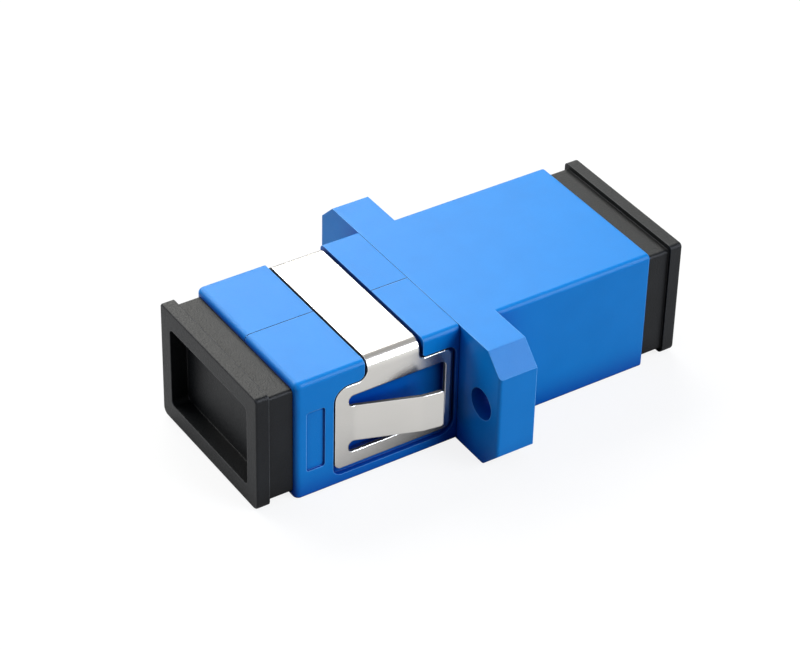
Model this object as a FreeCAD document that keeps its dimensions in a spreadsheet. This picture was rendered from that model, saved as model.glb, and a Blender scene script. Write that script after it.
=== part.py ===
import FreeCAD
import Part
import math
import os
import Sketcher

from FreeCAD import Placement, Rotation, Vector

# SC fibre adapter: two welded housings with a screw flange, a folded panel clip, the two inner
# latch holders, the split alignment sleeve between them, and a dust cap in each port.
#
# Millimetres.  X is the optical axis: the long housing with the flange points to +X, the short
# housing that carries the clip to -X.  Y runs across the flange and Z up, out of the face that
# the clip's strap crosses.  The origin is the centre of the flange, on the optical axis.

SIZES = {
    # port for a push-pull plug of 9.0 by 7.4
    "port_width": 9.1,
    "port_height": 7.5,
    "port_corner": 0.3,
    "port_lead_in": 0.2,
    "key_width": 2.4,
    "key_depth": 0.4,
    "key_length": 8.0,
    # housings
    "side_wall": 1.8,
    "top_wall": 0.9,
    "end_band": 2.84,
    "long_edge_round": 0.38,
    "foot_edge_round": 0.2,
    "clip_end_round": 0.43,
    "long_end_round": 0.18,
    "seam_round": 0.05,
    # screw flange
    "flange_thickness": 2.9,
    "flange_chamfer": 1.5,
    "ear_edge_round": 0.25,
    "ear_foot_round": 0.5,
    "ear_margin": 2.0,
    "hole_pitch": 18.0,
    "hole_diameter": 2.3,
    # parting line moulded along the top of the clip side
    "groove_width": 0.06,
    "groove_depth": 0.1,
    # plain label field on the clip side
    "label_inset": 0.81,
    "label_gap": 0.65,
    "label_height": 4.76,
    "label_drop": 0.22,
    "label_depth": 0.15,
    "label_corner": 0.2,
    # folded spring clip
    "sheet": 0.28,
    "clip_below_flush": 0.05,
    "clip_seat_gap": 0.02,
    "bend_radius": 0.56,
    "strap_width": 3.94,
    "strap_gap": 0.26,
    "left_shoulder": 2.42,
    "right_shoulder": 2.53,
    "leg_rise": 3.08,
    "leg_drop": 3.41,
    "leg_gap": 0.16,
    "leg_right_gap": 0.33,
    "leg_foot_gap": 0.48,
    "recess_lip": 0.28,
    "recess_far_corner": 1.0,
    "leg_shoulder_round": 1.0,
    "leg_corner_round": 0.5,
    "strap_root_round": 0.75,
    "window_left_bar": 1.02,
    "window_right_bar": 0.43,
    "window_top_bar": 0.87,
    "window_foot_bar": 1.0,
    "window_corner": 0.38,
    "tongue_height": 2.85,
    "tongue_root": 0.45,
    "tongue_ramp_length": 4.3,
    "tongue_ramp_rise": 1.52,
    "tongue_tip_length": 1.5,
    "tongue_tip_rise": 0.22,
    "tongue_tip_round": 0.22,
    "tongue_bend_radius": 0.8,
    "relief_margin": 0.2,
    "relief_depth": 0.35,
    # inner holders and the spigot that clamps their plates
    "seat_side_step": 0.75,
    "seat_top_step": 0.4,
    "spigot_length": 0.45,
    "fit_gap": 0.05,
    "barrel_wall": 0.69,
    "barrel_lip": 0.7,
    "barrel_edge": 0.3,
    "mouth_play": 0.15,
    "arm_height": 3.0,
    "arm_thickness": 0.65,
    "arm_reach": 5.6,
    "arm_flex": 0.45,
    "hook_depth": 0.45,
    "hook_length": 1.0,
    "arm_root_round": 0.3,
    # split ceramic sleeve for 2.5 ferrules
    "sleeve_bore": 2.5,
    "sleeve_wall": 0.35,
    "sleeve_length": 11.4,
    "sleeve_slit": 0.5,
    "sleeve_play": 0.06,
    "sleeve_end_gap": 0.1,
    # dust caps
    "cap_neck_side_inset": 0.375,
    "cap_neck_top_inset": 0.5,
    "cap_neck_length": 1.85,
    "cap_neck_round": 0.25,
    "cap_rim_side_stand": 0.22,
    "cap_rim_top_stand": 0.37,
    "cap_rim_thickness": 0.95,
    "cap_rim_top_round": 0.3,
    "cap_rim_foot_round": 0.55,
    "cap_edge_round": 0.12,
    "cap_side_wall": 1.225,
    "cap_top_wall": 1.37,
    "cap_pocket_depth": 1.25,
    "cap_pocket_corner": 0.4,
    "cap_floor": 1.2,
    "cap_plug_length": 5.5,
    "cap_plug_play": 0.1,
    "cap_plug_wall": 0.9,
    "cap_plug_round": 0.45,
    "cap_plug_lead": 0.3,
}

# Places and sizes that several sub-parts share, as expressions on the sheet.
HALF_WIDTH = "(Dim.port_width / 2 + Dim.side_wall)"
HALF_HEIGHT = "(Dim.port_height / 2 + Dim.top_wall)"
SEAM = "(-Dim.flange_thickness / 2)"
FLANGE_FRONT = "(Dim.flange_thickness / 2)"
PLATE = "(Dim.flange_thickness / 2 - Dim.spigot_length)"
SEAT_WIDTH = "(Dim.port_width + 2 * Dim.seat_side_step)"
SEAT_HEIGHT = "(Dim.port_height + 2 * Dim.seat_top_step)"
SEATED_WIDTH = f"({SEAT_WIDTH} - 2 * Dim.fit_gap)"
SEATED_HEIGHT = f"({SEAT_HEIGHT} - 2 * Dim.fit_gap)"
SLEEVE_DIAMETER = "(Dim.sleeve_bore + 2 * Dim.sleeve_wall)"
CAP_NECK_WIDTH = f"(2 * {HALF_WIDTH} - 2 * Dim.cap_neck_side_inset)"
CAP_NECK_HEIGHT = f"(2 * {HALF_HEIGHT} - 2 * Dim.cap_neck_top_inset)"

# The clip's outer faces and outline, and the depth of the recess that it lies in.
CLIP_SIDE = f"({HALF_WIDTH} - Dim.clip_below_flush)"
CLIP_TOP = f"({HALF_HEIGHT} - Dim.clip_below_flush)"
RECESS_DEPTH = "(Dim.clip_below_flush + Dim.sheet + Dim.clip_seat_gap)"
RECESS_RIGHT = f"({SEAM} - Dim.recess_lip)"
LEG_RIGHT = f"({RECESS_RIGHT} - Dim.leg_right_gap)"
STRAP_RIGHT = f"({LEG_RIGHT} - Dim.right_shoulder)"
STRAP_LEFT = f"({STRAP_RIGHT} - Dim.strap_width)"
LEG_LEFT = f"({STRAP_LEFT} - Dim.left_shoulder)"
RECESS_LEFT = f"({LEG_LEFT} - Dim.leg_gap)"
WINDOW_LEFT = f"({LEG_LEFT} + Dim.window_left_bar)"
WINDOW_RIGHT = f"({LEG_RIGHT} - Dim.window_right_bar)"
WINDOW_TOP = "(Dim.leg_rise - Dim.window_top_bar)"
WINDOW_FOOT = "(Dim.window_foot_bar - Dim.leg_drop)"
TONGUE_ROOT = f"({WINDOW_LEFT} + Dim.tongue_root)"
TONGUE_MIDDLE = f"(({WINDOW_TOP} + {WINDOW_FOOT}) / 2)"
TONGUE_TOP = f"({TONGUE_MIDDLE} + Dim.tongue_height / 2)"
TONGUE_FOOT = f"({TONGUE_MIDDLE} - Dim.tongue_height / 2)"

# Both ports are equally deep, so the long housing ends as far out as the clip side does.
CLIP_END = f"({RECESS_LEFT} - Dim.end_band)"
LONG_END = f"(-1 * {CLIP_END})"

# A tool cut starts and ends this far outside the body, and a rounded end edge stays
# under this share of the rounding of the long edges that it meets.
OVERCUT = "Dim.side_wall"
ROUND_SHARE = 0.9


# ---------------------------------------------------------------- sketches and features

def make_sheet(doc):
    """The spreadsheet that holds every driving size under its own alias."""
    sheet = doc.addObject("Spreadsheet::Sheet", "Dim")
    for row, (alias, size) in enumerate(SIZES.items(), start=1):
        sheet.set(f"A{row}", alias.replace("_", " "))
        sheet.set(f"B{row}", str(size))
        sheet.setAlias(f"B{row}", alias)
    doc.recompute()
    return sheet


def make_body(doc, name):
    """An empty body whose label is the sub-part's name."""
    body = doc.addObject("PartDesign::Body", name)
    body.Label = name
    return body


def sketch(body, name, plane, lift=None):
    """A sketch on one of the body's own origin planes, lifted along the plane's normal."""
    drawing = body.newObject("Sketcher::SketchObject", name)
    support = next(item for item in body.Origin.OriginFeatures if item.Role == plane)
    drawing.AttachmentSupport = [(support, "")]
    drawing.MapMode = "FlatFace"
    if lift is not None:
        drawing.setExpression("AttachmentOffset.Base.z", lift)
    return drawing


def bind(drawing, kind, picks, expression):
    """A dimension constraint whose value follows an expression on the sheet."""
    start = drawing.evalExpression(expression)
    index = drawing.addConstraint(Sketcher.Constraint(kind, *picks, start))
    drawing.setExpression(f"Constraints[{index}]", expression)


def anchor(drawing, geometry, end, corner):
    """Holds one sketch point at a pair of expressions from the sketch's origin."""
    bind(drawing, "DistanceX", (-1, 1, geometry, end), corner[0])
    bind(drawing, "DistanceY", (-1, 1, geometry, end), corner[1])


def trimmed_corner(before, corner, after, radius):
    """Where a corner's rounding starts and ends, its centre, and whether it turns left."""
    incoming = (corner - before).normalize()
    outgoing = (after - corner).normalize()
    turn = incoming.getAngle(outgoing)
    reach = radius * math.tan(turn / 2)
    left = incoming.x * outgoing.y - incoming.y * outgoing.x > 0
    side = 1 if left else -1
    centre = corner - incoming * reach + Vector(-incoming.y, incoming.x, 0) * radius * side
    return corner - incoming * reach, corner + outgoing * reach, centre, left


def outline(drawing, corners):
    """A closed outline. A corner is a pair of expressions, or three to round it by the third."""
    count = len(corners)
    places = []
    for corner in corners:
        places.append(Vector(*[drawing.evalExpression(text) for text in corner[:2]], 0))
    starts = list(places)
    ends = list(places)
    arcs = {}
    for i, corner in enumerate(corners):
        if len(corner) == 3:
            radius = drawing.evalExpression(corner[2])
            cut = trimmed_corner(places[i - 1], places[i], places[(i + 1) % count], radius)
            ends[i], starts[i], centre, left = cut
            arcs[i] = (centre, radius, left)
    lines = []
    for i in range(count):
        segment = Part.LineSegment(starts[i], ends[(i + 1) % count])
        lines.append(drawing.addGeometry(segment))
    for i, corner in enumerate(corners):
        if i in arcs:
            round_corner(drawing, lines[i - 1], lines[i], corner, arcs[i], ends[i], starts[i])
        else:
            drawing.addConstraint(Sketcher.Constraint("Coincident", lines[i - 1], 2, lines[i], 1))
            anchor(drawing, lines[i], 1, corner)


def round_corner(drawing, line_in, line_out, corner, arc, first, last):
    """An arc tangent to the two lines of a corner, whose sharp point stays as construction."""
    centre, radius, left = arc
    circle = Part.Circle(centre, Vector(0, 0, 1), radius)
    low, high = (first, last) if left else (last, first)
    span = Part.ArcOfCircle(circle, circle.parameter(low), circle.parameter(high))
    curve = drawing.addGeometry(span)
    near, far = (1, 2) if left else (2, 1)
    drawing.addConstraint(Sketcher.Constraint("Tangent", line_in, 2, curve, near))
    drawing.addConstraint(Sketcher.Constraint("Tangent", line_out, 1, curve, far))
    bind(drawing, "Radius", (curve,), corner[2])
    sharp = Vector(*[drawing.evalExpression(text) for text in corner[:2]], 0)
    point = drawing.addGeometry(Part.Point(sharp), True)
    anchor(drawing, point, 1, corner)
    drawing.addConstraint(Sketcher.Constraint("PointOnObject", point, 1, line_in))
    drawing.addConstraint(Sketcher.Constraint("PointOnObject", point, 1, line_out))


def rectangle(drawing, left, right, bottom, top, corner=None):
    """A rectangle between four expressions, with all its corners rounded if one is given."""
    ring = [(left, bottom), (right, bottom), (right, top), (left, top)]
    if corner is not None:
        ring = [pair + (corner,) for pair in ring]
    outline(drawing, ring)


def centred_rectangle(drawing, width, height, corner=None):
    """A rectangle about the sketch's origin."""
    across = f"({width}) / 2"
    up = f"({height}) / 2"
    rectangle(drawing, f"-{across}", across, f"-{up}", up, corner)


def circle(drawing, diameter, centre=("0", "0")):
    """A circle about a pair of expressions."""
    middle = Vector(*[drawing.evalExpression(text) for text in centre], 0)
    radius = drawing.evalExpression(diameter) / 2
    ring = drawing.addGeometry(Part.Circle(middle, Vector(0, 0, 1), radius))
    bind(drawing, "Diameter", (ring,), diameter)
    anchor(drawing, ring, 3, centre)


def extrude(body, kind, name, drawing, length, backward=False):
    """A Pad or Pocket of a bound length, refused if it leaves the body's volume as it was."""
    before = body.Shape.Volume if body.Tip else 0.0
    feature = body.newObject(f"PartDesign::{kind}", name)
    feature.Profile = drawing
    feature.Reversed = backward
    feature.setExpression("Length", length)
    body.Document.recompute()
    change = body.Shape.Volume - before
    if (change <= 0) == (kind == "Pad") or change == 0:
        raise RuntimeError(f"{body.Label}: {name} changes the volume by {change:.4f}")
    return feature


def pad(body, name, drawing, length, backward=False):
    """A Pad along the sketch's normal, or against it."""
    return extrude(body, "Pad", name, drawing, length, backward)


def pocket(body, name, drawing, length, backward=False):
    """A Pocket against the sketch's normal, or along it."""
    return extrude(body, "Pocket", name, drawing, length, backward)


def edges_along(body, axis, places):
    """Names of the body's straight edges along X, Y or Z that lie at one of the places.

    A place gives the edge's two other coordinates as expressions, in X, Y, Z order, or None
    where any value will do.
    """
    running = "XYZ".index(axis)
    others = [i for i in range(3) if i != running]
    sheet = body.Document.Dim
    wanted = []
    for place in places:
        wanted.append([text if text is None else sheet.evalExpression(text) for text in place])
    names = []
    for number, edge in enumerate(body.Shape.Edges, start=1):
        if edge.Curve.TypeId != "Part::GeomLine":
            continue
        first, last = edge.Vertexes[0].Point, edge.Vertexes[-1].Point
        if any(abs(first[i] - last[i]) > 1e-6 for i in others):
            continue
        for place in wanted:
            pairs = zip(others, place)
            if all(at is None or abs(first[i] - at) < 1e-6 for i, at in pairs):
                names.append(f"Edge{number}")
                break
    if not names:
        raise RuntimeError(f"{body.Label}: no edge along {axis} at {places}")
    return names


def edges_of_face(body, axis, place, inner=False):
    """Names of the edges round a flat face that looks along an axis, or round its opening."""
    index = "XYZ".index(axis)
    at = body.Document.Dim.evalExpression(place)
    flat = []
    for face in body.Shape.Faces:
        box = face.BoundBox
        low = (box.XMin, box.YMin, box.ZMin)[index]
        high = (box.XMax, box.YMax, box.ZMax)[index]
        if abs(low - at) < 1e-6 and abs(high - at) < 1e-6:
            flat.append(face)
    widest = max(flat, key=lambda face: face.BoundBox.DiagonalLength)
    border = widest.OuterWire.Edges
    if inner:
        outer = border
        border = [e for e in widest.Edges if not any(e.isSame(side) for side in outer)]
    names = []
    for number, edge in enumerate(body.Shape.Edges, start=1):
        if any(edge.isSame(side) for side in border):
            names.append(f"Edge{number}")
    return names


def dress(body, kind, name, edges, size):
    """A Fillet or Chamfer of a bound size on edges of the body so far."""
    feature = body.newObject(f"PartDesign::{kind}", name)
    feature.Base = (body.Document.getObject(feature.BaseFeature.Name), edges)
    feature.setExpression("Radius" if kind == "Fillet" else "Size", size)
    body.Document.recompute()
    return feature


# ---------------------------------------------------------------- features both housings have

def round_long_edges(body, top_round):
    """Rounds the four edges of a housing's bar that run along the optical axis."""
    for name, side, radius in (("top", 1, top_round), ("foot", -1, "Dim.foot_edge_round")):
        places = [(f"{y} * {HALF_WIDTH}", f"{side} * {HALF_HEIGHT}") for y in (-1, 1)]
        dress(body, "Fillet", f"{name}_edges", edges_along(body, "X", places), radius)


def cut_port(body, end, inner_end, toward_long_end):
    """The plug's tunnel from one end of a housing, its lead-in, and a keyway in its floor."""
    tunnel = sketch(body, "port_section", "YZ_Plane", end)
    centred_rectangle(tunnel, "Dim.port_width", "Dim.port_height", "Dim.port_corner")
    depth = f"abs({end} - {inner_end})"
    pocket(body, "port", tunnel, depth, backward=not toward_long_end)
    mouth = edges_of_face(body, "X", end, inner=True)
    dress(body, "Chamfer", "port_mouth", mouth, "Dim.port_lead_in")
    keyway = sketch(body, "keyway_section", "YZ_Plane", end)
    rectangle(keyway, "-Dim.key_width / 2", "Dim.key_width / 2",
              "-Dim.port_height / 2 - Dim.key_depth", "0")
    pocket(body, "keyway", keyway, "Dim.key_length", backward=not toward_long_end)


def make_flange_housing(doc):
    """The long housing: port, screw flange and the pocket that holds the inner holders."""
    body = make_body(doc, "flange_housing")
    bar = sketch(body, "bar_section", "YZ_Plane", SEAM)
    centred_rectangle(bar, f"2 * {HALF_WIDTH}", f"2 * {HALF_HEIGHT}")
    pad(body, "bar", bar, f"{LONG_END} - {SEAM}")
    round_long_edges(body, "Dim.long_edge_round")
    dress(body, "Fillet", "end_edges", edges_of_face(body, "X", LONG_END),
          f"min(Dim.long_end_round; {ROUND_SHARE} * Dim.foot_edge_round)")

    flange = sketch(body, "flange_section", "YZ_Plane", SEAM)
    tip = "(Dim.hole_pitch / 2 + Dim.ear_margin)"
    waist = f"({tip} - Dim.flange_chamfer)"
    shoulder = f"({HALF_HEIGHT} - Dim.flange_chamfer)"
    outline(flange, [
        (f"-{waist}", f"-{HALF_HEIGHT}", "Dim.ear_foot_round"),
        (waist, f"-{HALF_HEIGHT}", "Dim.ear_foot_round"),
        (tip, f"-{shoulder}"), (tip, shoulder),
        (waist, HALF_HEIGHT), (f"-{waist}", HALF_HEIGHT),
        (f"-{tip}", shoulder), (f"-{tip}", f"-{shoulder}"),
    ])
    pad(body, "flange", flange, "Dim.flange_thickness")
    ears = [(SEAM, tip), (SEAM, f"-{tip}")]
    dress(body, "Fillet", "ear_edges", edges_along(body, "Z", ears), "Dim.ear_edge_round")

    holes = sketch(body, "screw_hole_centres", "YZ_Plane", FLANGE_FRONT)
    circle(holes, "Dim.hole_diameter", ("Dim.hole_pitch / 2", "0"))
    circle(holes, "Dim.hole_diameter", ("-Dim.hole_pitch / 2", "0"))
    pocket(body, "screw_holes", holes, "Dim.flange_thickness")

    seat = sketch(body, "holder_seat_section", "YZ_Plane", SEAM)
    centred_rectangle(seat, SEAT_WIDTH, SEAT_HEIGHT)
    pocket(body, "holder_seat", seat, f"{PLATE} - {SEAM}", backward=True)
    cut_port(body, LONG_END, PLATE, True)
    return body


def make_clip_housing(doc):
    """The short housing: port, spigot, the recess for the clip and the label field."""
    body = make_body(doc, "clip_housing")
    bar = sketch(body, "bar_section", "YZ_Plane", CLIP_END)
    centred_rectangle(bar, f"2 * {HALF_WIDTH}", f"2 * {HALF_HEIGHT}")
    pad(body, "bar", bar, f"{SEAM} - {CLIP_END}")
    corners = [(CLIP_END, f"{side} * {HALF_WIDTH}") for side in (-1, 1)]
    dress(body, "Fillet", "end_corners", edges_along(body, "Z", corners), "Dim.clip_end_round")
    round_long_edges(body, f"min(Dim.long_edge_round; {ROUND_SHARE} * Dim.clip_end_round)")
    dress(body, "Fillet", "seam_edges", edges_of_face(body, "X", SEAM), "Dim.seam_round")

    spigot = sketch(body, "spigot_section", "YZ_Plane", SEAM)
    centred_rectangle(spigot, SEATED_WIDTH, SEATED_HEIGHT)
    pad(body, "spigot", spigot, "Dim.spigot_length")
    cut_port(body, CLIP_END, f"({SEAM} + Dim.spigot_length)", False)

    cut_strap_recess(body)
    for side in (-1, 1):
        cut_leg_recess(body, side)
    round_recess_shoulders(body)
    cut_label_field(body)
    cut_parting_line(body)
    return body


def cut_strap_recess(body):
    """The band cut over the top and down both sides for the clip's strap."""
    band = sketch(body, "strap_recess_section", "YZ_Plane",
                  f"{STRAP_LEFT} - Dim.strap_gap")
    outer = f"({HALF_WIDTH} + {OVERCUT})"
    top = f"({HALF_HEIGHT} + {OVERCUT})"
    floor = f"({HALF_WIDTH} - {RECESS_DEPTH})"
    roof = f"({HALF_HEIGHT} - {RECESS_DEPTH})"
    bend = "Dim.bend_radius"
    outline(band, [
        (floor, "0"), (outer, "0"), (outer, top), (f"-{outer}", top),
        (f"-{outer}", "0"), (f"-{floor}", "0"),
        (f"-{floor}", roof, bend), (floor, roof, bend),
    ])
    pocket(body, "strap_recess", band, "Dim.strap_width + 2 * Dim.strap_gap", backward=True)


def side_sketch(body, name, side, depth):
    """A sketch seen from one side, at a depth below that side of the body."""
    return sketch(body, name, "XZ_Plane", f"{-side} * ({HALF_WIDTH} - {depth})")


def cut_leg_recess(body, side):
    """The recess that a clip's leg lies in, and the deeper relief behind its tongue."""
    hand = "near" if side < 0 else "far"
    recess = side_sketch(body, f"{hand}_recess_outline", side, "0")
    foot = "-Dim.leg_drop - Dim.leg_foot_gap"
    top = "Dim.leg_rise + Dim.leg_gap"
    corner = "Dim.leg_corner_round + Dim.leg_gap"
    outline(recess, [
        (RECESS_LEFT, foot, corner), (RECESS_RIGHT, foot, "Dim.recess_far_corner"),
        (RECESS_RIGHT, top, corner), (RECESS_LEFT, top, "Dim.leg_shoulder_round + Dim.leg_gap"),
    ])
    pocket(body, f"{hand}_recess", recess, RECESS_DEPTH, backward=side > 0)
    relief = side_sketch(body, f"{hand}_relief_outline", side, RECESS_DEPTH)
    rectangle(relief, f"{WINDOW_LEFT} - Dim.relief_margin", f"{WINDOW_RIGHT} + Dim.relief_margin",
              f"{WINDOW_FOOT} - Dim.relief_margin", f"{WINDOW_TOP} + Dim.relief_margin",
              "Dim.window_corner")
    pocket(body, f"{hand}_relief", relief, "Dim.relief_depth", backward=side > 0)


def round_recess_shoulders(body):
    """Rounds the housing's corners that point into the clip where its strap meets its legs."""
    ledge = "Dim.leg_rise + Dim.leg_gap"
    left = edges_along(body, "Y", [(f"{STRAP_LEFT} - Dim.strap_gap", ledge)])
    dress(body, "Fillet", "left_recess_shoulders", left, "Dim.strap_root_round - Dim.strap_gap")
    right = edges_along(body, "Y", [(f"{STRAP_RIGHT} + Dim.strap_gap", ledge)])
    dress(body, "Fillet", "right_recess_shoulders", right, "Dim.leg_corner_round - Dim.strap_gap")


def cut_label_field(body):
    """The shallow blank field beside the clip on the near side."""
    field = side_sketch(body, "label_outline", -1, "0")
    rectangle(field, f"{CLIP_END} + Dim.label_inset", f"{RECESS_LEFT} - Dim.label_gap",
              "-Dim.label_height / 2 - Dim.label_drop", "Dim.label_height / 2 - Dim.label_drop",
              "Dim.label_corner")
    pocket(body, "label_field", field, "Dim.label_depth")


def cut_parting_line(body):
    """The fine groove along the middle of the top, which runs on down over the end edge."""
    line = sketch(body, "top_groove_outline", "XY_Plane", HALF_HEIGHT)
    rectangle(line, CLIP_END, SEAM, "-Dim.groove_width / 2", "Dim.groove_width / 2")
    pocket(body, "top_groove", line, "Dim.groove_depth")
    notch = sketch(body, "end_groove_section", "YZ_Plane", CLIP_END)
    rectangle(notch, "-Dim.groove_width / 2", "Dim.groove_width / 2",
              f"{CAP_NECK_HEIGHT} / 2", HALF_HEIGHT)
    pocket(body, "end_groove", notch, "Dim.groove_depth", backward=True)


# ---------------------------------------------------------------- the spring clip

def make_panel_clip(doc):
    """One folded sheet: a strap over the top, a framed leg and a sprung tongue on each side."""
    body = make_body(doc, "panel_clip")
    section = sketch(body, "folded_section", "YZ_Plane", LEG_LEFT)
    inner_side = f"({CLIP_SIDE} - Dim.sheet)"
    inner_top = f"({CLIP_TOP} - Dim.sheet)"
    foot = "-Dim.leg_drop"
    outer_bend = "Dim.bend_radius + Dim.sheet"
    outline(section, [
        (CLIP_SIDE, foot), (CLIP_SIDE, CLIP_TOP, outer_bend),
        (f"-{CLIP_SIDE}", CLIP_TOP, outer_bend), (f"-{CLIP_SIDE}", foot),
        (f"-{inner_side}", foot), (f"-{inner_side}", inner_top, "Dim.bend_radius"),
        (inner_side, inner_top, "Dim.bend_radius"), (inner_side, foot),
    ])
    pad(body, "folded_sheet", section, f"{LEG_RIGHT} - {LEG_LEFT}")
    trim_leg_outline(body)
    cut_windows(body)
    for side in (-1, 1):
        add_tongue(body, side)
    return body


def cut_through_clip(body, name, drawing):
    """A Pocket from the near side through both legs and the strap."""
    pocket(body, name, drawing, f"2 * ({HALF_WIDTH} + {OVERCUT})")


def trim_leg_outline(body):
    """Cuts the blank to its outline: a narrow strap that widens to the legs at a shoulder."""
    lift = f"{HALF_WIDTH} + {OVERCUT}"
    above = f"({HALF_HEIGHT} + {OVERCUT})"
    below = f"(-Dim.leg_drop - {OVERCUT})"
    beyond_left = f"({LEG_LEFT} - {OVERCUT})"
    beyond_right = f"({LEG_RIGHT} + {OVERCUT})"
    corner = "Dim.leg_corner_round"
    left = sketch(body, "left_trim_outline", "XZ_Plane", lift)
    outline(left, [
        (beyond_left, above), (beyond_left, below), (STRAP_LEFT, below),
        (STRAP_LEFT, "-Dim.leg_drop"), (LEG_LEFT, "-Dim.leg_drop", corner),
        (LEG_LEFT, "Dim.leg_rise", "Dim.leg_shoulder_round"),
        (STRAP_LEFT, "Dim.leg_rise", "Dim.strap_root_round"), (STRAP_LEFT, above),
    ])
    cut_through_clip(body, "left_trim", left)
    right = sketch(body, "right_trim_outline", "XZ_Plane", lift)
    outline(right, [
        (beyond_right, above), (STRAP_RIGHT, above),
        (STRAP_RIGHT, "Dim.leg_rise", corner), (LEG_RIGHT, "Dim.leg_rise", corner),
        (LEG_RIGHT, "-Dim.leg_drop", corner), (STRAP_RIGHT, "-Dim.leg_drop"),
        (STRAP_RIGHT, below), (beyond_right, below),
    ])
    cut_through_clip(body, "right_trim", right)


def cut_windows(body):
    """The C-shaped opening in each leg that leaves a tongue joined at its left."""
    opening = sketch(body, "window_outline", "XZ_Plane", f"{HALF_WIDTH} + {OVERCUT}")
    corner = "Dim.window_corner"
    outline(opening, [
        (WINDOW_LEFT, WINDOW_TOP, corner), (WINDOW_LEFT, TONGUE_TOP, corner),
        (TONGUE_ROOT, TONGUE_TOP), (TONGUE_ROOT, TONGUE_FOOT),
        (WINDOW_LEFT, TONGUE_FOOT, corner),
        (WINDOW_LEFT, WINDOW_FOOT, corner), (WINDOW_RIGHT, WINDOW_FOOT, corner),
        (WINDOW_RIGHT, WINDOW_TOP, corner),
    ])
    cut_through_clip(body, "windows", opening)


def add_tongue(body, side):
    """A tongue that ramps outward from its root and flattens towards its free end."""
    hand = "near" if side < 0 else "far"
    strip = sketch(body, f"{hand}_tongue_section", "XY_Plane", TONGUE_FOOT)
    knee = f"({TONGUE_ROOT} + Dim.tongue_ramp_length)"
    tip = f"({knee} + Dim.tongue_tip_length)"
    knee_out = f"({CLIP_SIDE} + Dim.tongue_ramp_rise)"
    tip_out = f"({knee_out} + Dim.tongue_tip_rise)"
    outer_bend = "Dim.tongue_bend_radius + Dim.sheet"
    inner_bend = "Dim.tongue_bend_radius"
    buried = f"({WINDOW_LEFT} - Dim.sheet)"
    outer = [
        (buried, CLIP_SIDE), (TONGUE_ROOT, CLIP_SIDE, inner_bend),
        (knee, knee_out, outer_bend), (tip, tip_out),
    ]
    inner = [
        (tip, f"({tip_out} - Dim.sheet)"), (knee, f"({knee_out} - Dim.sheet)", inner_bend),
        (TONGUE_ROOT, f"({CLIP_SIDE} - Dim.sheet)", outer_bend),
        (buried, f"({CLIP_SIDE} - Dim.sheet)"),
    ]
    ring = [(corner[0], f"{side} * {corner[1]}") + corner[2:] for corner in outer + inner]
    outline(strip, ring)
    pad(body, f"{hand}_tongue", strip, "Dim.tongue_height")
    out = [(tip, TONGUE_TOP), (tip, TONGUE_FOOT)]
    free_corners = edges_along(body, "Y", out)
    dress(body, "Fillet", f"{hand}_tongue_corners", free_corners, "Dim.tongue_tip_round")


# ---------------------------------------------------------------- inside the housings

def make_holder(doc, name, turn):
    """A latch holder: base plate, sleeve barrel and two hooked arms, facing +X before its turn."""
    body = make_body(doc, name)
    bore = f"({SLEEVE_DIAMETER} + 2 * Dim.sleeve_play)"
    plate = sketch(body, "plate_section", "YZ_Plane")
    centred_rectangle(plate, SEATED_WIDTH, SEATED_HEIGHT)
    circle(plate, bore)
    pad(body, "plate", plate, PLATE)
    revolve_barrel(body, f"({bore} / 2)")
    for side in (-1, 1):
        add_latch_arm(body, side)
    body.Placement = Placement(Vector(0, 0, 0), Rotation(Vector(0, 0, 1), turn))
    return body


def revolve_barrel(body, seat_radius):
    """The barrel, with a lip at its mouth that keeps the sleeve in."""
    profile = sketch(body, "barrel_profile", "XY_Plane")
    outer = f"({seat_radius} + Dim.barrel_wall)"
    mouth = "(Dim.sleeve_bore / 2 + Dim.mouth_play)"
    lip = "(Dim.sleeve_length / 2 + Dim.sleeve_end_gap)"
    front = f"({lip} + Dim.barrel_lip)"
    edge = "Dim.barrel_edge"
    outline(profile, [
        ("0", seat_radius), ("0", outer), (f"{front} - {edge}", outer),
        (front, f"{outer} - {edge}"), (front, f"{mouth} + {edge}"),
        (f"{front} - {edge}", mouth), (lip, mouth), (lip, seat_radius),
    ])
    barrel = body.newObject("PartDesign::Revolution", "barrel")
    barrel.Profile = profile
    barrel.ReferenceAxis = (profile, ["H_Axis"])
    barrel.Angle = 360
    body.Document.recompute()


def add_latch_arm(body, side):
    """A sprung arm from the plate with an inward hook for the plug's shoulder."""
    hand = "near" if side < 0 else "far"
    profile = sketch(body, f"{hand}_arm_profile", "XY_Plane", "-Dim.arm_height / 2")
    outside = "(Dim.port_width / 2 - Dim.arm_flex)"
    inside = f"({outside} - Dim.arm_thickness)"
    tip = f"({PLATE} + Dim.arm_reach)"
    hook = f"({inside} - Dim.hook_depth)"
    root = f"({PLATE} / 2)"
    ring = [
        (root, inside), (root, outside), (tip, outside), (tip, inside),
        (f"{tip} - Dim.hook_length / 2", hook), (f"{tip} - Dim.hook_length", hook),
        (f"{tip} - Dim.hook_length", inside),
    ]
    outline(profile, [(x, f"{side} * {y}") for x, y in ring])
    pad(body, f"{hand}_arm", profile, "Dim.arm_height")
    foot = edges_along(body, "Z", [(PLATE, f"{side} * {inside}"), (PLATE, f"{side} * {outside}")])
    dress(body, "Fillet", f"{hand}_arm_root", foot, "Dim.arm_root_round")


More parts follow.
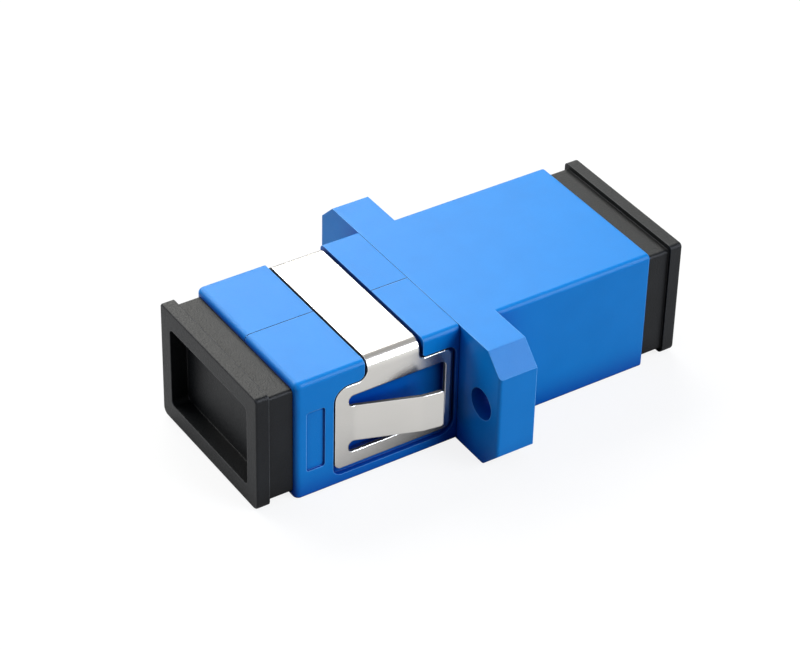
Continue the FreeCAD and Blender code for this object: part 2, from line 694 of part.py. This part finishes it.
def make_sleeve(doc):
    """The split ceramic sleeve that aligns the two ferrules."""
    body = make_body(doc, "alignment_sleeve")
    ring = sketch(body, "sleeve_section", "YZ_Plane", "-Dim.sleeve_length / 2")
    circle(ring, SLEEVE_DIAMETER)
    circle(ring, "Dim.sleeve_bore")
    pad(body, "tube", ring, "Dim.sleeve_length")
    slit = sketch(body, "slit_section", "YZ_Plane", "Dim.sleeve_length / 2")
    rectangle(slit, "-Dim.sleeve_slit / 2", "Dim.sleeve_slit / 2", "0", SLEEVE_DIAMETER)
    pocket(body, "slit", slit, "Dim.sleeve_length")
    return body


# ---------------------------------------------------------------- dust caps

def make_dust_cap(doc, name, port_end, turn):
    """A cap whose hollow plug fills the port, drawn facing +X from the housing's end face."""
    body = make_body(doc, name)
    plug_width = "(Dim.port_width - 2 * Dim.cap_plug_play)"
    plug_height = "(Dim.port_height - 2 * Dim.cap_plug_play)"
    plug = sketch(body, "plug_section", "YZ_Plane")
    centred_rectangle(plug, plug_width, plug_height, "Dim.cap_plug_round")
    pad(body, "plug", plug, "Dim.cap_plug_length", backward=True)
    dress(body, "Chamfer", "plug_lead_in",
          edges_of_face(body, "X", "-Dim.cap_plug_length"), "Dim.cap_plug_lead")
    neck = sketch(body, "neck_section", "YZ_Plane")
    centred_rectangle(neck, CAP_NECK_WIDTH, CAP_NECK_HEIGHT, "Dim.cap_neck_round")
    pad(body, "neck", neck, "Dim.cap_neck_length")
    rim = sketch(body, "rim_section", "YZ_Plane", "Dim.cap_neck_length")
    rim_width = f"({CAP_NECK_WIDTH} + 2 * Dim.cap_rim_side_stand)"
    rim_height = f"({CAP_NECK_HEIGHT} + 2 * Dim.cap_rim_top_stand)"
    outline(rim, [
        (f"-{rim_width} / 2", f"-{rim_height} / 2", "Dim.cap_rim_foot_round"),
        (f"{rim_width} / 2", f"-{rim_height} / 2", "Dim.cap_rim_foot_round"),
        (f"{rim_width} / 2", f"{rim_height} / 2", "Dim.cap_rim_top_round"),
        (f"-{rim_width} / 2", f"{rim_height} / 2", "Dim.cap_rim_top_round"),
    ])
    pad(body, "rim", rim, "Dim.cap_rim_thickness")
    face = "(Dim.cap_neck_length + Dim.cap_rim_thickness)"
    dress(body, "Fillet", "rim_edge", edges_of_face(body, "X", face), "Dim.cap_edge_round")

    pull = sketch(body, "pocket_section", "YZ_Plane", face)
    centred_rectangle(pull, f"{rim_width} - 2 * Dim.cap_side_wall",
                      f"{rim_height} - 2 * Dim.cap_top_wall", "Dim.cap_pocket_corner")
    pocket(body, "front_pocket", pull, "Dim.cap_pocket_depth")
    hollow = sketch(body, "hollow_section", "YZ_Plane", "-Dim.cap_plug_length")
    centred_rectangle(hollow, f"{plug_width} - 2 * Dim.cap_plug_wall",
                      f"{plug_height} - 2 * Dim.cap_plug_wall", "Dim.port_corner")
    pocket(body, "hollow", hollow,
           f"Dim.cap_plug_length + {face} - Dim.cap_pocket_depth - Dim.cap_floor", backward=True)
    body.Placement = Placement(Vector(0, 0, 0), Rotation(Vector(0, 0, 1), turn))
    body.setExpression("Placement.Base.x", port_end)
    return body


# ---------------------------------------------------------------- document

def check(doc, parts):
    """Stops before anything is written if an object failed or a sub-part isn't sound."""
    for item in doc.Objects:
        if "Invalid" in item.State or "Error" in item.State:
            raise RuntimeError(f"{item.Name} failed: {item.State}")
    for part in parts:
        if part.Shape.isNull() or not part.Shape.isValid() or len(part.Shape.Solids) != 1:
            raise RuntimeError(f"{part.Label} isn't one sound solid")


def main():
    doc = FreeCAD.newDocument("sc_adapter")
    make_sheet(doc)
    parts = [
        make_flange_housing(doc),
        make_clip_housing(doc),
        make_panel_clip(doc),
        make_holder(doc, "long_side_holder", 0),
        make_holder(doc, "clip_side_holder", 180),
        make_sleeve(doc),
        make_dust_cap(doc, "long_side_dust_cap", LONG_END, 0),
        make_dust_cap(doc, "clip_side_dust_cap", CLIP_END, 180),
    ]
    doc.recompute()
    check(doc, parts)
    os.makedirs("parts", exist_ok=True)
    for part in parts:
        part.Shape.exportStep(f"parts/{part.Label}.step")
        box = part.Shape.BoundBox
        print(f"{part.Label:22s} {part.Shape.Volume:9.2f} mm3  "
              f"X {box.XMin:7.2f} {box.XMax:7.2f}  Y {box.YMin:7.2f} {box.YMax:7.2f}  "
              f"Z {box.ZMin:6.2f} {box.ZMax:6.2f}")


main()
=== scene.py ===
import math

import bpy
from mathutils import Euler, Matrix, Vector


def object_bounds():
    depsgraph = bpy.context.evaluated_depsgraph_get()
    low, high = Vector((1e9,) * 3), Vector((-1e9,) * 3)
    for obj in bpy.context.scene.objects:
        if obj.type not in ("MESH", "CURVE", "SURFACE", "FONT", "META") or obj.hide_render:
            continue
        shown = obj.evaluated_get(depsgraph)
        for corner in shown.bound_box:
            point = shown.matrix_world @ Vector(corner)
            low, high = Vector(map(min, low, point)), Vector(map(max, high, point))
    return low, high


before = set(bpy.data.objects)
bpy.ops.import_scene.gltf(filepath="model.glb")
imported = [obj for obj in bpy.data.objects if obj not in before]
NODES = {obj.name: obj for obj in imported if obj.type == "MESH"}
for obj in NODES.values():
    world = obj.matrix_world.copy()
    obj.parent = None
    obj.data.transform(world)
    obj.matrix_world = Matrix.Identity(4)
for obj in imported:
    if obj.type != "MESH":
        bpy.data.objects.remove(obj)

CAD_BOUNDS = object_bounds()
MM = 0.001


# ---------------------------------------------------------------- material helpers

COLOUR_SOCKETS = (0, 6, 7)   # a Mix node's factor and its two colours
COLOUR_RESULT = 2
ROUNDING_SAMPLES = 6
SHADE_SAMPLES = 10


class Shader:
    """A node tree and short ways to add nodes to it and join them: a material's, or one given."""

    def __init__(self, name=None, tree=None):
        if tree is None:
            self.material = bpy.data.materials.new(name)
            self.material.use_nodes = True
            tree = self.material.node_tree
        self.tree = tree
        self.tree.nodes.clear()

    def add(self, kind, **inputs):
        """A node whose named sockets are set to numbers, or joined to another node's output."""
        node = self.tree.nodes.new(kind)
        for name, value in inputs.items():
            self.set(node, name.replace("_", " "), value)
        return node

    def set(self, node, which, value):
        """Sets a socket, given by name or number, to a number or to another node's output."""
        socket = node.inputs[which]
        if isinstance(value, bpy.types.NodeSocket):
            self.tree.links.new(value, socket)
        else:
            socket.default_value = value

    def place(self):
        """Positions in the object's own frame, in metres."""
        return self.add("ShaderNodeTexCoord").outputs["Object"]

    def stretched(self, scale):
        """Positions with each axis scaled, for streaks."""
        mapping = self.add("ShaderNodeMapping", Vector=self.place())
        mapping.inputs["Scale"].default_value = scale
        return mapping.outputs["Vector"]

    def noise(self, scale, detail=2.0, roughness=0.5, vector=None):
        node = self.add("ShaderNodeTexNoise", Scale=scale, Detail=detail, Roughness=roughness)
        self.set(node, "Vector", self.place() if vector is None else vector)
        return node.outputs["Fac"]

    def spread(self, value, low, high, start=0.3, end=0.7):
        """A value between start and end, mapped to run from low to high."""
        node = self.add("ShaderNodeMapRange", Value=value)
        for name, number in (("From Min", start), ("From Max", end), ("To Min", low), ("To Max", high)):
            self.set(node, name, number)
        return node.outputs["Result"]

    def blend(self, factor, first, second, mode="MIX"):
        node = self.add("ShaderNodeMix")
        node.data_type = "RGBA"
        node.blend_type = mode
        for socket, value in zip(COLOUR_SOCKETS, (factor, first, second)):
            self.set(node, socket, value)
        return node.outputs[COLOUR_RESULT]

    def math(self, operation, first, second=0.0):
        node = self.add("ShaderNodeMath")
        node.operation = operation
        self.set(node, 0, first)
        self.set(node, 1, second)
        return node.outputs[0]

    def seen(self, path):
        """1 for rays from the eye, from gloss and through glass, and 0 for the light's own."""
        eye_or_gloss = self.math("MAXIMUM", path["Is Camera Ray"], path["Is Glossy Ray"])
        return self.math("MAXIMUM", eye_or_gloss, path["Is Transmission Ray"])

    def rounded(self, radius):
        """Normals that round the edges off by a radius."""
        node = self.add("ShaderNodeBevel", Radius=radius)
        node.samples = ROUNDING_SAMPLES
        return node.outputs["Normal"]

    def edge_highlight_mask(self, rounded):
        """A factor for the painted edge highlight: 1 on an edge, falling to 0 where the rounding ends.
        """
        dot = self.add("ShaderNodeVectorMath")
        dot.operation = "DOT_PRODUCT"
        self.set(dot, 0, rounded)
        self.set(dot, 1, self.add("ShaderNodeNewGeometry").outputs["True Normal"])
        return self.spread(dot.outputs["Value"], 1.0, 0.0, 0.88, 0.99)

    def occlusion_shade(self, reach, dark, closed=0.15, open_from=0.6):
        """A factor for painted shade, from ambient occlusion: 1 in the open, falling to dark in tight
        gaps and inner corners.
        """
        node = self.add("ShaderNodeAmbientOcclusion", Distance=reach)
        node.samples = SHADE_SAMPLES
        return self.spread(node.outputs["AO"], dark, 1.0, closed, open_from)

    def bump(self, height, distance, strength, normal=None):
        node = self.add("ShaderNodeBump", Height=height, Distance=distance, Strength=strength)
        if normal is not None:
            self.set(node, "Normal", normal)
        return node.outputs["Normal"]

    def finish(self, surface):
        self.add("ShaderNodeOutputMaterial", Surface=surface)
        return self.material


def rgb(red, green, blue):
    return (red, green, blue, 1.0)


# ---------------------------------------------------------------- materials

MOTTLE_SCALE = 420.0   # noise per metre
GRAIN_SCALE = 9000.0
LEG_TOP = 3.4 * MM     # just below the bends that join the clip's legs to its strap


def moulded_plastic(name, colour, lighter, shade_colour, highlight_colour, roughness, specular, grain, edge):
    """Moulded plastic: slight mottling between two colours, a painted highlight along its edges, and
    painted shade in recesses, gaps and inner corners.

    grain is the depth of its texture and edge the radius of its corners, both in metres.
    """
    s = Shader(name)
    mottle = s.noise(MOTTLE_SCALE, detail=3.0)
    tint = s.blend(s.spread(mottle, 0.0, 1.0), colour, lighter)
    grains = s.noise(GRAIN_SCALE, detail=2.0, roughness=0.6)
    bsdf = s.add("ShaderNodeBsdfPrincipled")
    rounded = s.rounded(edge)
    # Painted highlight: the edges turn to a lighter colour where the rounding bends the normal.
    highlighted = s.blend(s.edge_highlight_mask(rounded), tint, highlight_colour)
    # Painted shade: the colour falls to a shade colour in recesses and is multiplied darker in tight
    # gaps and inner corners, both by ambient occlusion.
    shaded = s.blend(s.occlusion_shade(2.5 * MM, 0.0, 0.38, 0.97), shade_colour, highlighted)
    s.set(bsdf, "Base Color", s.blend(1.0, shaded, s.occlusion_shade(0.5 * MM, 0.12), mode="MULTIPLY"))
    bsdf.inputs["Specular IOR Level"].default_value = specular
    s.set(bsdf, "Roughness", s.spread(grains, roughness - 0.04, roughness + 0.04))
    s.set(bsdf, "Normal", s.bump(grains, grain, 1.0, rounded))
    return s.finish(bsdf.outputs["BSDF"])


def cut_faces(s, rounded):
    """A factor that is 1 on the sheet's cut faces and 0 on its rolled ones and their edges."""
    normal = s.add("ShaderNodeSeparateXYZ", Vector=rounded)
    place = s.add("ShaderNodeSeparateXYZ", Vector=s.place())
    ends = s.math("GREATER_THAN", s.math("ABSOLUTE", normal.outputs["X"]), 0.7)
    below = s.math("LESS_THAN", place.outputs["Z"], LEG_TOP)
    across = s.math("LESS_THAN", s.math("ABSOLUTE", normal.outputs["Y"]), 0.5)
    return s.math("MAXIMUM", ends, s.math("MULTIPLY", below, across))


def rolled_steel(name):
    """Bright rolled sheet: fine streaks along the strap, matt cut faces with rounded edges, a painted
    highlight along its edges and painted shade in tight gaps.
    """
    s = Shader(name)
    rounded = s.rounded(0.12 * MM)
    cut = cut_faces(s, rounded)
    streaks = s.noise(1.0, detail=3.0, roughness=0.6, vector=s.stretched((14000.0, 500.0, 500.0)))
    cloud = s.noise(260.0, detail=2.0)
    rolled = s.blend(s.spread(cloud, 0.0, 1.0), rgb(0.68, 0.66, 0.625), rgb(0.72, 0.70, 0.665))
    # Painted highlight: a near-white colour along the rounded edges.
    highlighted = s.blend(s.edge_highlight_mask(rounded), rolled, rgb(0.95, 0.94, 0.92))
    tint = s.blend(cut, highlighted, rgb(0.16, 0.155, 0.15))
    bsdf = s.add("ShaderNodeBsdfPrincipled")
    # Painted shade: the colour is multiplied darker in tight gaps, by ambient occlusion.
    s.set(bsdf, "Base Color", s.blend(1.0, tint, s.occlusion_shade(0.3 * MM, 0.03), mode="MULTIPLY"))
    bsdf.inputs["Metallic"].default_value = 1.0
    polish = s.spread(streaks, 0.20, 0.25)
    s.set(bsdf, "Roughness", s.spread(cut, polish, 0.6, 0.0, 1.0))
    s.set(bsdf, "Normal", s.bump(streaks, 0.002 * MM, 0.2, rounded))
    return s.finish(bsdf.outputs["BSDF"])


def ceramic(name):
    """Polished zirconia with faint grinding rings."""
    s = Shader(name)
    rings = s.noise(1.0, detail=2.0, vector=s.stretched((9000.0, 300.0, 300.0)))
    tint = s.blend(s.spread(rings, 0.0, 1.0), rgb(0.90, 0.90, 0.87), rgb(0.94, 0.94, 0.92))
    bsdf = s.add("ShaderNodeBsdfPrincipled")
    s.set(bsdf, "Base Color", tint)
    s.set(bsdf, "Roughness", s.spread(rings, 0.16, 0.24))
    s.set(bsdf, "Normal", s.bump(rings, 0.002 * MM, 0.2, s.rounded(0.05 * MM)))
    return s.finish(bsdf.outputs["BSDF"])


# Each finish below gives a painted shade colour for recesses and a painted highlight colour for edges.
BLUE = moulded_plastic(
    "housing_blue", colour=rgb(0.001, 0.187, 0.565), lighter=rgb(0.002, 0.200, 0.595),
    shade_colour=rgb(0.0, 0.042, 0.33), highlight_colour=rgb(0.16, 0.47, 0.90),
    roughness=0.33, specular=0.165, grain=0.007 * MM, edge=0.09 * MM)
BLACK = moulded_plastic(
    "cap_black", colour=rgb(0.006, 0.0067, 0.0080), lighter=rgb(0.009, 0.0100, 0.0115),
    shade_colour=rgb(0.001, 0.001, 0.001), highlight_colour=rgb(0.075, 0.077, 0.080),
    roughness=0.40, specular=0.175, grain=0.022 * MM, edge=0.10 * MM)
CREAM = moulded_plastic(
    "holder_cream", colour=rgb(0.80, 0.79, 0.74), lighter=rgb(0.84, 0.83, 0.78),
    shade_colour=rgb(0.62, 0.60, 0.54), highlight_colour=rgb(0.88, 0.87, 0.83),
    roughness=0.42, specular=0.40, grain=0.003 * MM, edge=0.08 * MM)
STEEL = rolled_steel("clip_steel")
ZIRCONIA = ceramic("sleeve_ceramic")

FINISHES = {
    "flange_housing": (BLUE, "housing"),
    "clip_housing": (BLUE, "housing"),
    "panel_clip": (STEEL, "clip"),
    "long_side_holder": (CREAM, "holder"),
    "clip_side_holder": (CREAM, "holder"),
    "alignment_sleeve": (ZIRCONIA, "sleeve"),
    "long_side_dust_cap": (BLACK, "dust_cap"),
    "clip_side_dust_cap": (BLACK, "dust_cap"),
}
for node, (material, slot) in FINISHES.items():
    for place in NODES[node].material_slots:
        place.material = material


# ---------------------------------------------------------------- camera

CENTRE = (CAD_BOUNDS[0] + CAD_BOUNDS[1]) / 2

# Where the photograph was taken from, in degrees and metres, solved from the object's edges.
AZIMUTH = -33.645
ELEVATION = 36.345
ROLL = 1.411
AIM = CENTRE + Vector((-1.260, 1.0437, 0.0)) * MM
DISTANCE = 194.28 * MM
SENSOR_WIDTH = 36.0    # Blender takes this and the focal length in millimetres
FOCAL_LENGTH = 129.41


def toward(azimuth, elevation):
    """The direction from the object to a place, by angles in degrees."""
    turn, rise = math.radians(azimuth), math.radians(elevation)
    return Vector((math.sin(turn) * math.cos(rise), -math.cos(turn) * math.cos(rise), math.sin(rise)))


def make_camera():
    """The camera at the photograph's viewpoint, rolled about its own line of sight."""
    camera = bpy.data.objects.new("camera", bpy.data.cameras.new("camera"))
    camera.data.sensor_width = SENSOR_WIDTH
    camera.data.lens = FOCAL_LENGTH
    camera.data.clip_start = 0.01
    camera.data.clip_end = 20.0
    back = toward(AZIMUTH, ELEVATION)
    camera.location = AIM + back * DISTANCE
    camera.rotation_mode = "QUATERNION"
    level = (-back).to_track_quat("-Z", "Y")
    camera.rotation_quaternion = level @ Euler((0.0, 0.0, math.radians(ROLL))).to_quaternion()
    bpy.context.scene.collection.objects.link(camera)
    bpy.context.scene.camera = camera


make_camera()


# ---------------------------------------------------------------- floor, world and lamps

GLOW = 0.85       # the floor's own light, to the eye and in reflections
MIRRORED = 0.86   # how much of it reflections show, well away from the object
FALLOFF = 2.4     # how steeply the painted shadow darkens reflections of the floor under the object
FLOOR_HALF = 3.0
FILL = 0.05       # the world's light on everything
RANGE = 1.0       # from the object to every lamp and upright card
COOL = (0.85, 0.90, 1.0)
WARM = (1.0, 0.99, 0.93)
WHITE = (1.0, 1.0, 1.0)
SKY = (0.55, 0.72, 1.0)

# Name, azimuth and elevation in degrees, width and height in metres, radiance, colour.
LAMPS = (
    ("back_light", 178.0, 38.0, 1.1, 0.75, 5.8, WARM),
    ("key_light", 30.0, 28.0, 0.7, 0.72, 2.1, COOL),
    ("key_band_low", 28.0, 15.0, 0.5, 0.22, 8.0, COOL),
    ("key_band_high", 36.0, 38.0, 0.5, 0.25, 10.5, COOL),
    ("left_light", -140.0, 35.0, 0.7, 0.6, 2.2, WHITE),
    ("left_fill", -80.0, 28.0, 0.6, 0.6, 1.9, SKY),
)


def grey(level):
    return rgb(level, level, level)


def lying(left, right, near, far, height):
    """Corners of a level face."""
    return [(left, near, height), (right, near, height), (right, far, height), (left, far, height)]


def standing(azimuth, width, bottom, top):
    """Corners of an upright face that looks at the object."""
    middle = CENTRE + toward(azimuth, 0.0) * RANGE
    side = toward(azimuth + 90.0, 0.0) * (width / 2)
    return [middle - side + Vector((0, 0, bottom)), middle + side + Vector((0, 0, bottom)),
            middle + side + Vector((0, 0, top)), middle - side + Vector((0, 0, top))]


def make_face(name, corners):
    """An object with a single four-cornered face."""
    mesh = bpy.data.meshes.new(name)
    mesh.from_pydata(corners, [], [(0, 1, 2, 3)])
    face = bpy.data.objects.new(name, mesh)
    bpy.context.scene.collection.objects.link(face)
    return face


def make_floor():
    """A white floor that keeps the object's soft shadow, and is white to the eye and to metal; in
    reflections it carries a painted shadow near the object.
    """
    corners = lying(-FLOOR_HALF, FLOOR_HALF, -FLOOR_HALF, FLOOR_HALF, CAD_BOUNDS[0].z)
    floor = make_face("floor", corners)
    s = Shader("floor_white")
    path = s.add("ShaderNodeLightPath").outputs
    # Painted shadow: to glossy rays the floor's glow darkens near the object, by ambient occlusion.
    shut = s.math("SUBTRACT", 1.0, s.occlusion_shade(12.0 * MM, 0.0, 0.40, 0.85))
    reflected_shadow = s.math("MULTIPLY", s.math("POWER", shut, FALLOFF), MIRRORED)
    near = s.blend(path["Is Glossy Ray"], grey(1.0), s.math("SUBTRACT", MIRRORED, reflected_shadow))
    glow = s.add("ShaderNodeEmission", Color=near, Strength=s.math("MULTIPLY", s.seen(path), GLOW))
    speckle = s.noise(60.0)
    paint = s.blend(s.spread(speckle, 0.0, 1.0), grey(0.135), grey(0.147))
    matt = s.add("ShaderNodeBsdfDiffuse", Color=paint)
    both = s.add("ShaderNodeAddShader")
    s.set(both, 0, matt.outputs[0])
    s.set(both, 1, glow.outputs[0])
    floor.data.materials.append(s.finish(both.outputs[0]))


def make_card(name, corners, dark, light):
    """A grey card that metal shows as a band; the camera doesn't see it."""
    card = make_face(name, corners)
    card.visible_camera = False
    card.visible_shadow = False
    s = Shader(name + "_grey")
    weave = s.noise(40.0)
    paint = s.blend(s.spread(weave, 0.0, 1.0), grey(dark), grey(light))
    glow = s.add("ShaderNodeEmission", Color=paint, Strength=1.0)
    card.data.materials.append(s.finish(glow.outputs[0]))


def make_world():
    """White to the eye and in reflections, and a plain even fill for everything else."""
    world = bpy.data.worlds.new("studio")
    bpy.context.scene.world = world
    world.use_nodes = True
    s = Shader(tree=world.node_tree)
    seen = s.seen(s.add("ShaderNodeLightPath").outputs)
    background = s.add("ShaderNodeBackground", Strength=s.spread(seen, FILL, 1.0, 0.0, 1.0))
    s.add("ShaderNodeOutputWorld", Surface=background.outputs[0])


def make_lamp(name, azimuth, elevation, width, height, radiance, colour):
    """A square lamp that faces the object, as bright as a white card of that radiance."""
    lamp = bpy.data.lights.new(name, "AREA")
    lamp.shape = "RECTANGLE"
    lamp.size = width
    lamp.size_y = height
    lamp.energy = radiance * math.pi * width * height
    lamp.color = colour
    holder = bpy.data.objects.new(name, lamp)
    away = toward(azimuth, elevation)
    holder.location = CENTRE + away * RANGE
    holder.rotation_mode = "QUATERNION"
    holder.rotation_quaternion = away.to_track_quat("Z", "Y")
    bpy.context.scene.collection.objects.link(holder)


make_floor()
make_world()
make_card("overhead_flag", lying(left=-0.5, right=1.3, near=-0.78, far=0.30, height=1.0), 0.43, 0.47)
make_card("far_flag", standing(azimuth=153.0, width=0.5, bottom=0.0, top=0.24), 0.07, 0.09)
for lamp in LAMPS:
    make_lamp(*lamp)

bpy.context.scene.view_settings.view_transform = "Standard"
